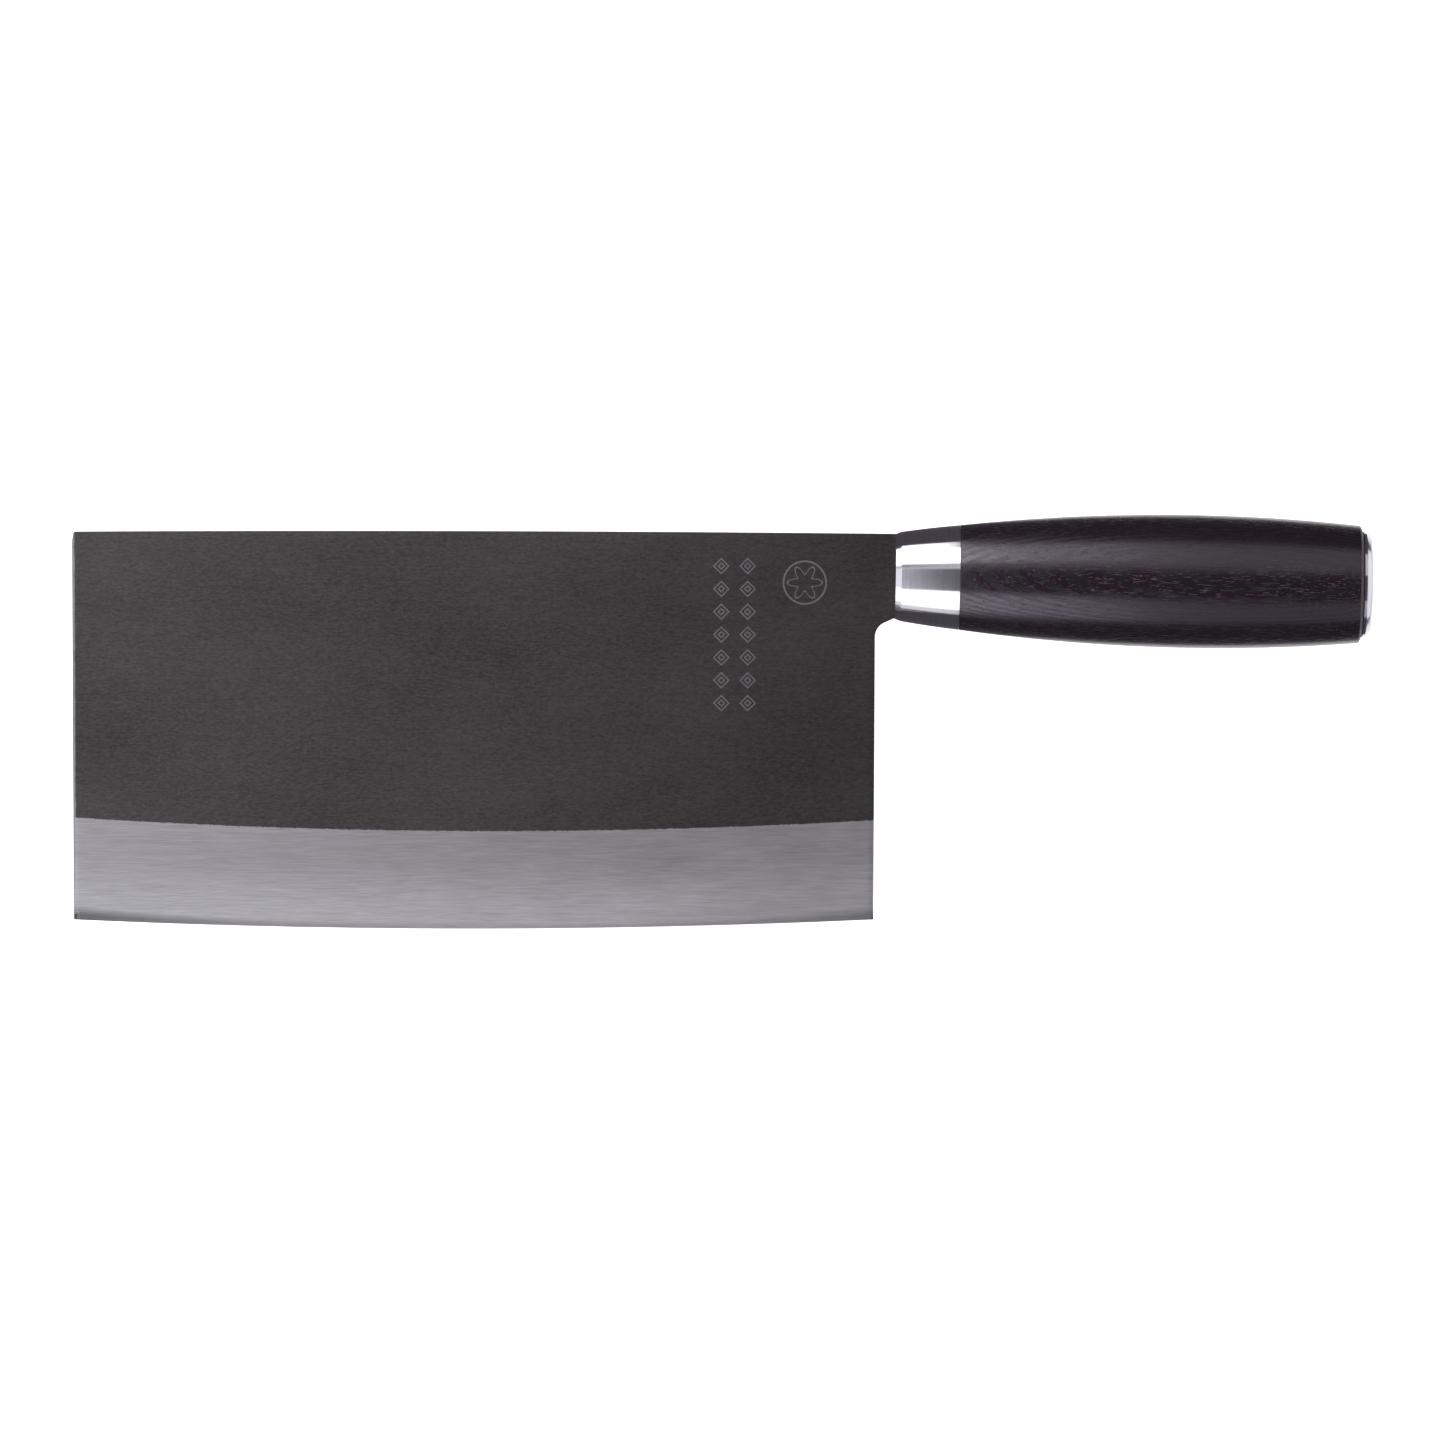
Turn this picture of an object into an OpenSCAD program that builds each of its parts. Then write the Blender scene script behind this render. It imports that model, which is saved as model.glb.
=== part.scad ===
// Chinese kitchen cleaver with a hidden tang, lying flat on its side.
// The blade is one steel plate with a flat tang. A rod, welded to the tang, runs through the
// turned grip and a nut on its end draws the grip against the bolster. A domed cap closes the end.
// +X runs from the tip to the end of the handle, +Y from the cutting edge to the spine and +Z
// across the blade. The part rests on z = 0 with the middle of its box on the Z axis.

/* [Blade] */
// Length of the cutting edge, from toe to heel
edge_len = 203; // [180:1:220]
// Thickness of the plate
blade_t = 2.2; // [1.8:0.1:3]
// Depth of the edge's lowest point under the handle's axis at the neck
edge_depth = 89.5; // [75:0.1:95]
// Height of the spine over the handle's axis at the neck
spine_y = 10.8; // [10.6:0.1:12]
// Rise of the spine from the neck to the tip
spine_rise = 0.6; // [0:0.1:2]
// Bow of the spine between its ends
spine_bow = 0.4; // [0.2:0.1:1]
// Radius of the corner between the spine and the front edge
tip_corner_r = 1; // [0.5:0.1:5]
// Lean of the front edge, backwards at the cutting edge
toe_lean = 0.5; // [0:0.1:2]
// Lean of the heel, forwards at the cutting edge
heel_lean = 0.4; // [0:0.1:2]
// Radius of the cutting edge's curve
belly_r = 2200; // [1500:10:3000]
// Height of the ground bevel
grind_h = 25; // [15:0.1:30]
// Height of the finishing bevel along the edge
honed_h = 1.2; // [0.8:0.1:2]
// Thickness of the blade where the finishing bevel starts
honed_t = 0.5; // [0.3:0.05:0.8]

/* [Neck and tang] */
// Reach of the neck, from the heel to the bolster
neck_reach = 5.2; // [5:0.1:8]
// Depth of the neck's underside at the bolster, under the axis
neck_low = 10.6; // [10:0.1:11]
// Slope of the neck's underside, in degrees
neck_slope = 24; // [10:1:40]
// Radius of the fillet between the neck and the heel
neck_fillet = 4; // [2:0.1:4.4]
// Height of the flat tang
tang_h = 12; // [9:0.5:12]
// Thickness of the flat tang
tang_t = 1.8; // [1.4:0.1:1.8]
// Length of the flat tang behind the bolster's front face
tang_len = 50; // [45:1:52]

/* [Bolster] */
// Length of the bolster that shows
bolster_len = 16.3; // [14:0.1:20]
// Radius of its front face
bolster_front_r = 10.8; // [10.5:0.1:11]
// Length of the chamfer behind the front face
chamfer_len = 1.4; // [0.5:0.1:2]
// Radius behind the chamfer
chamfer_r = 11.35; // [11:0.05:11.8]
// Radius where the bolster meets the grip
joint_r = 13.3; // [13:0.1:14]
// Radius of the bolster's curved side
bolster_side_r = 250; // [150:10:400]
// Radius of the tenon that enters the grip
tenon_r = 8; // [7:0.1:9]
// Length of the tenon
tenon_len = 5; // [3:0.5:8]

/* [Grip] */
// Length of the wooden grip
grip_len = 102.1; // [95:0.1:110]
// Greatest radius of the grip
grip_r = 16.9; // [15:0.1:18]
// Distance of the widest place from the bolster's front face
widest_x = 75; // [70:0.5:85]
// Radius of the grip at its rear end, before the chamfer
grip_end_r = 14.9; // [14.5:0.1:15.5]
// Slope of the handle, down towards its rear end, in degrees
handle_tilt = 1; // [0:0.1:3]
// Radial width of the chamfer at the rear end
end_chamfer_r = 1.3; // [0.8:0.1:1.4]
// Axial length of that chamfer
end_chamfer_len = 0.6; // [0.4:0.1:1]
// Radius of the bore around the flat tang
tang_bore_r = 6.5; // [6.3:0.1:7]
// Radius of the bore around the rod
rod_bore_r = 4; // [3.8:0.1:5]
// Radius of the counterbore under the end cap
cap_bore_r = 8; // [7.8:0.1:9]
// Depth of the counterbore
cap_bore_len = 11; // [10.5:0.1:12]

/* [Fasteners and end cap] */
// Radius of the tang rod and its thread, an M6
rod_r = 3; // [3:3]
// Length of the rod's fork over the tang
fork_len = 14; // [10:1:18]
// Radius of the weld beads along the fork
weld_r = 0.9; // [0.6:0.1:1]
// Outer radius of the washer
washer_r = 7.7; // [6:0.1:7.8]
// Radius of the washer's hole
washer_hole_r = 3.2; // [3.1:0.1:3.4]
// Thickness of the washer
washer_t = 1.2; // [1:0.1:1.6]
// Width of the nut across its flats
nut_flats = 10; // [10:10]
// Height of the nut
nut_h = 5; // [4:0.1:5.2]
// Rod that stands out of the nut
rod_spare = 1.5; // [1:0.1:2]
// Thickness of the spacer ring between the grip and the cap
spacer_t = 0.3; // [0.2:0.1:0.6]
// Radius of the end cap
cap_r = 13.4; // [13:0.1:13.6]
// Height of the cap's straight rim
cap_rim_h = 0.65; // [0.3:0.05:0.8]
// Radius where the cap's domed face starts
dome_r = 12.5; // [12:0.1:13]
// Height at which the domed face starts
dome_base_h = 2; // [0.8:0.1:2.4]
// Rise of the domed face
dome_rise = 0.6; // [0.3:0.1:1.5]
// Outer radius of the cap's hollow spigot
spigot_r = 7.95; // [7.5:0.05:7.95]
// Wall of the spigot
spigot_wall = 1.6; // [1:0.1:1.8]
// Length of the spigot
spigot_len = 6; // [4:0.5:7]

/* [Hidden] */
$fn = 96;
big_fn = 1440; // facets of the long shallow arcs
eps = 0.01;

grip_end_x = bolster_len + grip_len;
counterbore_x = grip_end_x - cap_bore_len;
washer_x = counterbore_x;
nut_x = washer_x + washer_t;
rod_end_x = nut_x + nut_h + rod_spare;
fork_x = tang_len - fork_len;
bore_step_x = tang_len + 4; // where the wide bore narrows to the rod's
cap_x = grip_end_x + spacer_t;

// The blade's corners, in the plane of the plate, from the neck's middle
heel_x = -(neck_reach + heel_lean);
toe_x = heel_x - edge_len;
front_x = toe_x - toe_lean;
edge_mid_x = (toe_x + heel_x) / 2;
below_edge = 3; // how far the uncut plate reaches under the edge

function along(angle) = [cos(angle), sin(angle)];
function tilted(p) = [
    p[0] * cos(handle_tilt) + p[1] * sin(handle_tilt),
    p[1] * cos(handle_tilt) - p[0] * sin(handle_tilt),
];
// Points of an arc, by its centre, radius and the angles of its two ends
function arc(centre, r, from, to, steps) =
    [for (i = [0:steps]) centre + r * along(from + (to - from) * i / steps)];
// Radius of the circle with that chord and that rise over it
function bow_radius(chord, rise) = (chord * chord / 4 + rise * rise) / (2 * rise);
// Centre of a circle of radius r through p and q, on the left of the way from p to q
function arc_centre(p, q, r) =
    let (d = q - p, h = sqrt(r * r - d * d / 4))
    (p + q) / 2 + h * [-d[1], d[0]] / norm(d);

// The grip's side is two arcs that meet at its widest place
front_swell_r = bow_radius(2 * (widest_x - bolster_len), grip_r - joint_r);
rear_swell_r = bow_radius(2 * (grip_end_x - widest_x), grip_r - grip_end_r);
dome_ball_r = bow_radius(2 * dome_r, dome_rise);
dome_centre_x = cap_x + dome_base_h + dome_rise - dome_ball_r;

// The part's box, and the shift that stands it on z = 0 with the box's middle on the Z axis
top_y = tilted([widest_x, grip_r - front_swell_r])[1] + front_swell_r;
rear_x = tilted([dome_centre_x, 0])[0] + dome_ball_r;
box_middle = [(front_x + rear_x) / 2, (top_y - edge_depth) / 2, -grip_r];

module placed() translate(-box_middle) children();
module on_handle_axis() placed() rotate([0, 0, -handle_tilt]) children();
// Turns a profile, drawn as radius across and distance along, about the handle's axis
module turned() rotate([0, 90, 0]) rotate_extrude() children();
// A round bar on the handle's axis
module bar(r, from, to) turned() translate([0, from]) square([r, to - from]);
// A big circle's part between two distances along the axis
module arc_side(centre, r, from, to) intersection() {
    translate(centre) circle(r = r, $fn = big_fn);
    translate([0, from]) square([grip_r + 1, to - from]);
}

// The plate's outline, before its edge is ground
module plate_outline() {
    neck_top = tilted([0, spine_y]);
    neck_bottom = tilted([0, -neck_low]);
    tip_top = [front_x, spine_y + spine_rise];
    spine_r = bow_radius(norm(neck_top - tip_top), spine_bow);
    spine_centre = arc_centre(neck_top, tip_top, spine_r);
    spine_from = atan2(neck_top[1] - spine_centre[1], neck_top[0] - spine_centre[0]);
    spine_to = atan2(tip_top[1] - spine_centre[1], tip_top[0] + tip_corner_r - spine_centre[0]);
    tip_centre = [front_x + tip_corner_r, tip_top[1] - tip_corner_r];
    slope = along(neck_slope);
    fillet_x = -neck_reach + neck_fillet;
    fillet_y = neck_bottom[1] + ((fillet_x - neck_bottom[0]) * slope[1] - neck_fillet) / slope[0];
    polygon(concat(
        [neck_bottom],
        arc(spine_centre, spine_r, spine_from, spine_to, 16),
        arc(tip_centre, tip_corner_r, 90, 180, 6),
        [
            [toe_x, -edge_depth],
            [toe_x, -edge_depth - below_edge],
            [heel_x, -edge_depth - below_edge],
            [heel_x, -edge_depth],
        ],
        arc([fillet_x, fillet_y], neck_fillet, 180, 90 + neck_slope, 8)
    ));
}

// A disc with a double-bevelled rim, wide enough for the belly to be its lowest stretch
module ground_disc() {
    sweep = 2 * asin(edge_len / belly_r); // more than the edge takes up
    translate([edge_mid_x, belly_r - edge_depth, 0])
        rotate_extrude(angle = sweep, start = 270 - sweep / 2, $fn = big_fn)
            polygon([
                [belly_r - edge_depth - 2 * spine_y, -blade_t / 2],
                [belly_r - grind_h, -blade_t / 2],
                [belly_r - honed_h, -honed_t / 2],
                [belly_r, 0],
                [belly_r - honed_h, honed_t / 2],
                [belly_r - grind_h, blade_t / 2],
                [belly_r - edge_depth - 2 * spine_y, blade_t / 2],
            ]);
}

// The flat tang, along the handle's axis
module tang_plate(from, grow = 0) translate([from, -tang_h / 2 - grow, -tang_t / 2 - grow])
    cube([tang_len - from, tang_h + 2 * grow, tang_t + 2 * grow]);

module blade() {
    root = 3; // how far the tang runs back into the plate
    color("#3a3637") placed() {
        intersection() {
            translate([0, 0, -blade_t]) linear_extrude(2 * blade_t) plate_outline();
            ground_disc();
        }
        rotate([0, 0, -handle_tilt]) tang_plate(-root);
    }
}

module bolster() {
    side_front = [chamfer_r, chamfer_len];
    side_rear = [joint_r, bolster_len];
    slot_gap = 0.05; // room around the tang in its slot
    color("#b9babd") on_handle_axis() difference() {
        turned() {
            polygon([[0, 0], [bolster_front_r, 0], side_front, [0, chamfer_len]]);
            arc_side(
                arc_centre(side_front, side_rear, bolster_side_r),
                bolster_side_r, chamfer_len, bolster_len
            );
            translate([0, bolster_len]) square([tenon_r, tenon_len]);
        }
        tang_plate(-1, slot_gap);
    }
}

module grip() {
    color("#2c232b") on_handle_axis() difference() {
        turned() difference() {
            union() {
                arc_side([grip_r - front_swell_r, widest_x], front_swell_r, bolster_len, widest_x);
                arc_side([grip_r - rear_swell_r, widest_x], rear_swell_r, widest_x, grip_end_x);
            }
            polygon([
                [grip_end_r + 1, grip_end_x + 1],
                [grip_end_r + 1, grip_end_x - end_chamfer_len],
                [grip_end_r, grip_end_x - end_chamfer_len],
                [grip_end_r - end_chamfer_r, grip_end_x],
                [grip_end_r - end_chamfer_r, grip_end_x + 1],
            ]);
        }
        bar(tenon_r, bolster_len - 1, bolster_len + tenon_len);
        bar(tang_bore_r, bolster_len, bore_step_x);
        bar(rod_bore_r, bore_step_x - 1, counterbore_x + 1);
        bar(cap_bore_r, counterbore_x, grip_end_x + 1);
    }
}

module tang_rod() color("#9a9a9c") on_handle_axis() difference() {
    bar(rod_r, fork_x, rod_end_x);
    tang_plate(fork_x - 1);
}

// Four beads in the corners between the fork's prongs and the tang's sides
module weld_beads() {
    end_gap = 1; // bare metal at each end of a bead
    reach = sqrt(rod_r * rod_r - tang_t * tang_t / 4);
    for (y = [-reach, reach], z = [-tang_t / 2, tang_t / 2])
        translate([fork_x + end_gap, y, z])
            rotate([0, 90, 0]) cylinder(r = weld_r, h = fork_len - 2 * end_gap);
}

module tang_weld() color("#77716d") on_handle_axis() difference() {
    weld_beads();
    bar(rod_r, fork_x - 1, tang_len + 1);
    tang_plate(fork_x - 1);
}

module tang_adhesive() color("#c9b98a") on_handle_axis() difference() {
    turned() {
        translate([0, bolster_len + tenon_len])
            square([tang_bore_r, bore_step_x - bolster_len - tenon_len]);
        translate([0, bore_step_x]) square([rod_bore_r, counterbore_x - bore_step_x]);
    }
    bar(rod_r, fork_x, rod_end_x);
    tang_plate(0);
    weld_beads();
}

module tang_washer() color("#a9aaac") on_handle_axis() difference() {
    bar(washer_r, washer_x, nut_x);
    bar(washer_hole_r, washer_x - 1, nut_x + 1);
}

module tang_nut() color("#a0a1a4") on_handle_axis() difference() {
    translate([nut_x, 0, 0]) rotate([0, 90, 0])
        cylinder(r = nut_flats / 2 / cos(30), h = nut_h, $fn = 6);
    bar(rod_r + eps, nut_x - 1, nut_x + nut_h + 1);
}

module cap_spacer() color("#141213") on_handle_axis() difference() {
    bar(cap_r, grip_end_x, cap_x);
    bar(cap_bore_r, grip_end_x - 1, cap_x + 1);
}

module end_cap() color("#c4c5c8") on_handle_axis() turned() {
    translate([0, cap_x]) polygon([
        [0, 0], [cap_r, 0], [cap_r, cap_rim_h], [dome_r, dome_base_h], [0, dome_base_h],
    ]);
    intersection() {
        translate([0, dome_centre_x]) circle(r = dome_ball_r, $fn = big_fn);
        translate([0, cap_x + dome_base_h]) square([dome_r, dome_rise + 1]);
    }
    translate([spigot_r - spigot_wall, cap_x - spigot_len]) square([spigot_wall, spigot_len]);
}

blade();
bolster();
grip();
tang_rod();
tang_weld();
tang_adhesive();
tang_washer();
tang_nut();
cap_spacer();
end_cap();
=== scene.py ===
import math

import bmesh
import bpy
from mathutils import Matrix, Vector


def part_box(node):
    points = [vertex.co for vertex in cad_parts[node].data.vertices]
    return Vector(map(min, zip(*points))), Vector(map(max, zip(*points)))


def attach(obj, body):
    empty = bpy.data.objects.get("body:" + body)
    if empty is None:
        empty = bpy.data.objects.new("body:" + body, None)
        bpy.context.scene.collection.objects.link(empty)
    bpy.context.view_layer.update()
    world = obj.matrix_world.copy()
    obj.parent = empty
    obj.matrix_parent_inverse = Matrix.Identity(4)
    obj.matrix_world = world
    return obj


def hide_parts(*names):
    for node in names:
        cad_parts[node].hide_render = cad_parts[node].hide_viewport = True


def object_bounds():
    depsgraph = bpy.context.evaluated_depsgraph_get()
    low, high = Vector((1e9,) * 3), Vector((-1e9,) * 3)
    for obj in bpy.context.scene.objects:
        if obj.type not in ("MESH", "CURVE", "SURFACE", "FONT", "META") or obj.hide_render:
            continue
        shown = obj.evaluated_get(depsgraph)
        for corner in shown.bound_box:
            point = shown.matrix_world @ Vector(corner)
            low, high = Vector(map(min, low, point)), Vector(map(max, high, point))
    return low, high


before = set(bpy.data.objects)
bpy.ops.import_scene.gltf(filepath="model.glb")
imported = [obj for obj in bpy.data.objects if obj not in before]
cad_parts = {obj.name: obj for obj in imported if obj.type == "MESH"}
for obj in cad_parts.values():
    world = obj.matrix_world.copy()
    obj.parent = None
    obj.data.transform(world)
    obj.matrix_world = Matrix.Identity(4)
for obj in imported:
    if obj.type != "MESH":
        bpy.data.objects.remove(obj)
cadLow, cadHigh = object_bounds()
print("frame loaded:", ", ".join(sorted(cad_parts)))

mm = 0.001  # pieces are drawn in millimetres, from the middle of the neck
neckPlace = {
    "bladeReach": 209.1,  # from the blade's front edge back to the bolster
    "edgeDepth": 89.5,  # lowest point of the cutting edge under the handle's axis
    "handleTilt": 1.0,  # degrees that the handle falls towards its end
}
handleTilt = math.radians(neckPlace["handleTilt"])
bladeLow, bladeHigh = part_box("blade")
neck = Vector((
    bladeLow.x + neckPlace["bladeReach"] * mm,
    bladeLow.y + neckPlace["edgeDepth"] * mm,
    (bladeLow.z + bladeHigh.z) / 2,
))
onBlade = Matrix.Translation(neck) @ Matrix.Scale(mm, 4)
onHandle = Matrix.Translation(neck) @ Matrix.Rotation(-handleTilt, 4, "Z") @ Matrix.Scale(mm, 4)
weldGap = 0.0005  # mm, below which two points are one
nearness = 0.01  # mm, within which a point counts as lying at a place


def startLine(bm, along, across):
    return bmesh.ops.create_vert(bm, co=(along, across, 0))["vert"][0]


def lineTo(bm, last, along, across):
    end = bmesh.ops.extrude_vert_indiv(bm, verts=[last])["verts"][0]
    end.co = (along, across, 0)
    return end


def arcTo(bm, last, along, across, radius, steps):
    # a positive radius puts the arc's centre on the left of the way
    start, end = last.co.copy(), Vector((along, across, 0))
    way = end - start
    turn = math.copysign(1, radius)
    reach = math.sqrt(radius ** 2 - way.length_squared / 4)
    centre = (start + end) / 2 + Vector((-way.y, way.x, 0)).normalized() * reach * turn
    angle = 2 * math.asin(way.length / 2 / abs(radius)) * turn
    spun = bmesh.ops.spin(bm, geom=[last], cent=centre, axis=(0, 0, 1), angle=angle, steps=steps)
    return [part for part in spun["geom_last"] if isinstance(part, bmesh.types.BMVert)][0]


def turnAround(bm, steps):
    # turns the drawn line about the handle's axis
    bmesh.ops.spin(
        bm, geom=bm.verts[:] + bm.edges[:], cent=(0, 0, 0), axis=(1, 0, 0),
        angle=2 * math.pi, steps=steps, use_merge=True,
    )
    bmesh.ops.remove_doubles(bm, verts=bm.verts, dist=weldGap)


def easeRing(bm, along, across, width, segments=3):
    # rounds a ring edge of a turned piece
    def onRing(vert):
        return abs(vert.co.x - along) < nearness and abs(vert.co.yz.length - across) < nearness
    ring = [edge for edge in bm.edges if all(onRing(vert) for vert in edge.verts)]
    bmesh.ops.bevel(
        bm, geom=ring, offset=width, offset_type="OFFSET", affect="EDGES",
        segments=segments, profile=0.5, material=-1, clamp_overlap=True,
    )


def finishPiece(name, bm, place, finishes, node, sharpFrom=30):
    bmesh.ops.recalc_face_normals(bm, faces=bm.faces)
    mesh = bpy.data.meshes.new(name)
    bm.to_mesh(mesh)
    bm.free()
    mesh.transform(place)
    mesh.shade_smooth()
    mesh.set_sharp_from_angle(angle=math.radians(sharpFrom))
    for finish in finishes:
        mesh.materials.append(finish)
    piece = bpy.data.objects.new(name, mesh)
    bpy.context.scene.collection.objects.link(piece)
    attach(piece, "root")
    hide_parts(node)
    return piece


def addNode(tree, kind, **settings):
    node = tree.nodes.new(kind)
    for key, value in settings.items():
        setattr(node, key, value)
    return node


def feed(tree, socket, source):
    # source is another socket or a plain value
    if isinstance(source, bpy.types.NodeSocket):
        tree.links.new(source, socket)
    else:
        socket.default_value = source


def calc(tree, operation, first, second=0.0, third=0.0):
    node = addNode(tree, "ShaderNodeMath", operation=operation)
    for socket, source in zip(node.inputs, (first, second, third)):
        feed(tree, socket, source)
    return node.outputs[0]


def plus(tree, first, second):
    return calc(tree, "ADD", first, second)


def minus(tree, first, second):
    return calc(tree, "SUBTRACT", first, second)


def times(tree, first, second):
    return calc(tree, "MULTIPLY", first, second)


def reachOf(tree, first, second):
    # how far out a place lies, from its two offsets
    return calc(tree, "SQRT", plus(tree, times(tree, first, first), times(tree, second, second)))


def ramp(tree, value, low, high, toLow=0.0, toHigh=1.0, smooth=True):
    node = addNode(tree, "ShaderNodeMapRange", clamp=True)
    node.interpolation_type = "SMOOTHSTEP" if smooth else "LINEAR"
    for socket, source in zip(node.inputs, (value, low, high, toLow, toHigh)):
        feed(tree, socket, source)
    return node.outputs[0]


def blend(tree, share, first, second):
    # mixes two colours
    node = addNode(tree, "ShaderNodeMix", data_type="RGBA", clamp_factor=True)
    feed(tree, node.inputs["Factor"], share)
    feed(tree, node.inputs[6], first)
    feed(tree, node.inputs[7], second)
    return node.outputs[2]


def scaled(tree, colour, amount):
    # a colour times a value
    node = addNode(tree, "ShaderNodeVectorMath", operation="SCALE")
    feed(tree, node.inputs[0], colour)
    feed(tree, node.inputs["Scale"], amount)
    return node.outputs[0]


def grainNoise(tree, point, fineness, detail, roughness):
    # fineness is the number of grains per millimetre each way
    spread = addNode(tree, "ShaderNodeVectorMath", operation="MULTIPLY")
    feed(tree, spread.inputs[0], point)
    feed(tree, spread.inputs[1], fineness)
    node = addNode(tree, "ShaderNodeTexNoise")
    tree.links.new(spread.outputs[0], node.inputs["Vector"])
    node.inputs["Scale"].default_value = 1.0
    node.inputs["Detail"].default_value = detail
    node.inputs["Roughness"].default_value = roughness
    return node.outputs[0]


def localPoint(tree, turned):
    # millimetres from the middle of the neck, along the blade or along the handle
    place = addNode(tree, "ShaderNodeMapping", vector_type="TEXTURE")
    tree.links.new(addNode(tree, "ShaderNodeTexCoord").outputs["Object"], place.inputs["Vector"])
    place.inputs["Location"].default_value = neck
    place.inputs["Rotation"].default_value = (0, 0, -handleTilt if turned else 0)
    place.inputs["Scale"].default_value = (mm, mm, mm)
    return place.outputs[0]


def parts(tree, point):
    node = addNode(tree, "ShaderNodeSeparateXYZ")
    tree.links.new(point, node.inputs[0])
    return node.outputs[0], node.outputs[1], node.outputs[2]


def joined(tree, x, y, z):
    node = addNode(tree, "ShaderNodeCombineXYZ")
    for socket, source in zip(node.inputs, (x, y, z)):
        feed(tree, socket, source)
    return node.outputs[0]


def newGroup(name, takes, gives):
    tree = bpy.data.node_groups.new(name, "ShaderNodeTree")
    for label, kind, value in takes:
        socket = tree.interface.new_socket(label, in_out="INPUT", socket_type=kind)
        if value is not None:
            socket.default_value = value
    for label, kind in gives:
        tree.interface.new_socket(label, in_out="OUTPUT", socket_type=kind)
    return tree, addNode(tree, "NodeGroupInput").outputs, addNode(tree, "NodeGroupOutput").inputs


def useGroup(tree, group, **values):
    node = addNode(tree, "ShaderNodeGroup", node_tree=group)
    for label, source in values.items():
        feed(tree, node.inputs[label], source)
    return node.outputs


def newFinish(name, **constants):
    finish = bpy.data.materials.new(name)
    finish.use_nodes = True
    shader = finish.node_tree.nodes["Principled BSDF"]
    for label, value in constants.items():
        shader.inputs[label].default_value = value
    return finish, finish.node_tree, shader


def bumpFrom(tree, shader, height, strength, depth):
    # depth is in millimetres
    bump = addNode(tree, "ShaderNodeBump")
    bump.inputs["Strength"].default_value = strength
    bump.inputs["Distance"].default_value = depth * mm
    tree.links.new(height, bump.inputs["Height"])
    tree.links.new(bump.outputs[0], shader.inputs["Normal"])


brushLook = {
    "fine": ((1.0, 1.0, 1.0), 3.0, 0.6),  # fineness, detail and roughness of a noise, here and below
    "fineShare": 0.72,
    "wide": ((0.4, 0.2, 0.2), 2.0, 0.5),
    "wideShare": 0.28,
}
smearNoise = ((0.05, 0.09, 0.09), 3.0, 0.6)


def makeBrushGroup():
    # straight brush marks; Fineness is the marks per millimetre each way, Tone is 0 to 1 about 0.5
    tree, takes, gives = newGroup(
        "brushMarks",
        [("Point", "NodeSocketVector", None), ("Fineness", "NodeSocketVector", (0.04, 4.0, 4.0))],
        [("Tone", "NodeSocketFloat")],
    )
    spread = addNode(tree, "ShaderNodeVectorMath", operation="MULTIPLY")
    tree.links.new(takes["Point"], spread.inputs[0])
    tree.links.new(takes["Fineness"], spread.inputs[1])
    fine = times(tree, grainNoise(tree, spread.outputs[0], *brushLook["fine"]), brushLook["fineShare"])
    wide = times(tree, grainNoise(tree, spread.outputs[0], *brushLook["wide"]), brushLook["wideShare"])
    tree.links.new(plus(tree, fine, wide), gives["Tone"])
    return tree


def makeHandlingGroup():
    # faint smears of handling, which only change the gloss; Rough is 0 on the average
    tree, takes, gives = newGroup(
        "handlingSmears",
        [("Point", "NodeSocketVector", None), ("Amount", "NodeSocketFloat", 0.05)],
        [("Rough", "NodeSocketFloat")],
    )
    smear = minus(tree, grainNoise(tree, takes["Point"], *smearNoise), 0.5)
    tree.links.new(times(tree, smear, takes["Amount"]), gives["Rough"])
    return tree


brushMarks = makeBrushGroup()
handlingSmears = makeHandlingGroup()
print("shared effects made")


bladeShape = {
    "edgeLength": 203.0,
    "edgeRadius": 2200.0,
    "thickness": 2.2,
    "toeLean": 0.5,
    "heelLean": 0.4,
    "spineHeight": 10.8,
    "spineRise": 0.6,
    "spineBow": 0.4,
    "tipRadius": 1.0,
    "neckReach": 5.2,
    "neckLow": 10.6,
    "neckSlope": math.radians(24),
    "neckFillet": 4.0,
    "grindHeight": (25.9, 24.8, 25.2),  # of the ground bevel, at the toe, in the middle and at the heel
    "honedHeight": (2.6, 1.2, 2.4),  # of the finishing bevel, at the same places
    "grindPower": 2,  # the higher, the more suddenly a height changes near the ends
    "honedPower": 4,
    "wedgeFrom": (1.2, 0.25),  # height and half thickness that the ground wedge runs down to
    "toeEase": 0.5,
    "heelEase": 0.25,
    "spineEase": 0.25,
    "easeShare": 0.8,  # of a row's half thickness, the most that a rounding takes
    "columns": 160,
    "roundSteps": 4,
    "spineSteps": 4,
    "filletSteps": 9,
    "softRise": 1.0,  # of the row that keeps the finishing bevel's upper line crisp
    "lowRows": (-50.0, -30.0),  # heights of plain rows across the plate
    "neckRow": 0.25,  # how far over the neck's lower corner the next row lies
    "highRow": 9.0,
    "sharpFrom": 35,  # degrees between two faces
    "tangHeight": 12.0,
    "tangThickness": 1.8,
    "tangLength": 50.0,
    "tangStep": 0.05,  # mm over which the neck thins to the tang
}
halfPlate = bladeShape["thickness"] / 2
tiltSlope = math.tan(handleTilt)
heelX = -(bladeShape["neckReach"] + bladeShape["heelLean"])
toeX = heelX - bladeShape["edgeLength"]
frontX = toeX - bladeShape["toeLean"]
edgeMiddle = (toeX + heelX) / 2
edgeCentreY = bladeShape["edgeRadius"] - neckPlace["edgeDepth"]
tipY = bladeShape["spineHeight"] + bladeShape["spineRise"]
neckBottom = Vector((
    -bladeShape["neckLow"] * math.sin(handleTilt),
    -bladeShape["neckLow"] * math.cos(handleTilt),
))
filletX = bladeShape["neckFillet"] - bladeShape["neckReach"]
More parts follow.
